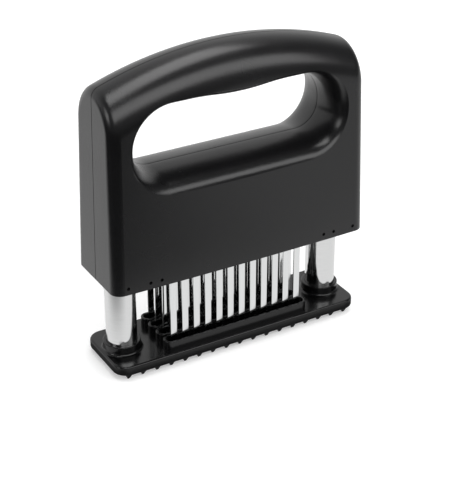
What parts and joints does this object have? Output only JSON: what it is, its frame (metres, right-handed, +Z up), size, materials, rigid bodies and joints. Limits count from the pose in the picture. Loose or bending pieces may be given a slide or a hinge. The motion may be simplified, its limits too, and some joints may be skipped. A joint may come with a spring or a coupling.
{
  "type": "blade meat tenderizer",
  "caption": "Hand press with rows of steel blades in an arched black housing with a hand hole, sliding down steel posts through a slotted, toothed foot plate.",
  "frame": {"origin": "middle of the foot plate at the level of the tooth tips that it stands on", "axes": "+Z up along the posts, +X along the length, -Y towards the front face"},
  "size_m": [0.115, 0.0354, 0.1298],
  "materials": {
    "housing_abs": "black ABS, fine satin moulding",
    "foot_abs": "black ABS, polished moulding",
    "inner_plastic": "moulded, unpolished",
    "bush_plastic": "natural acetal, moulded",
    "blade_steel": "ground and polished strip",
    "post_steel": "polished stainless tube",
    "fastener_steel": "bright zinc plated",
    "spring_steel": "drawn spring wire"
  },
  "bodies": {
    "foot": {"foot_plate": "foot_abs", "left_post": "post_steel", "right_post": "post_steel", "left_post_plug": "inner_plastic", "right_post_plug": "inner_plastic", "left_post_screw": "fastener_steel", "right_post_screw": "fastener_steel", "left_stop_clip": "fastener_steel", "right_stop_clip": "fastener_steel", "left_spring": "spring_steel", "right_spring": "spring_steel"},
    "handle": {"front_housing": "housing_abs", "rear_housing": "housing_abs", "bottom_cover": "housing_abs", "blade_carrier": "inner_plastic", "blade_clamp": "inner_plastic", "blade_pins": "fastener_steel", "clamp_screws": "fastener_steel", "blade_row_1": "blade_steel", "blade_row_2": "blade_steel", "blade_row_3": "blade_steel", "blade_row_4": "blade_steel", "left_bush": "bush_plastic", "right_bush": "bush_plastic"}
  },
  "joints": [
    {"name": "press", "type": "slide", "parent": "foot", "child": "handle", "axis": [0, 0, -1], "range_m": [0, 0.028], "stiffness_N_per_m": 2100, "springref_m": -0.005, "deforming": ["left_spring", "right_spring"]}
  ]
}
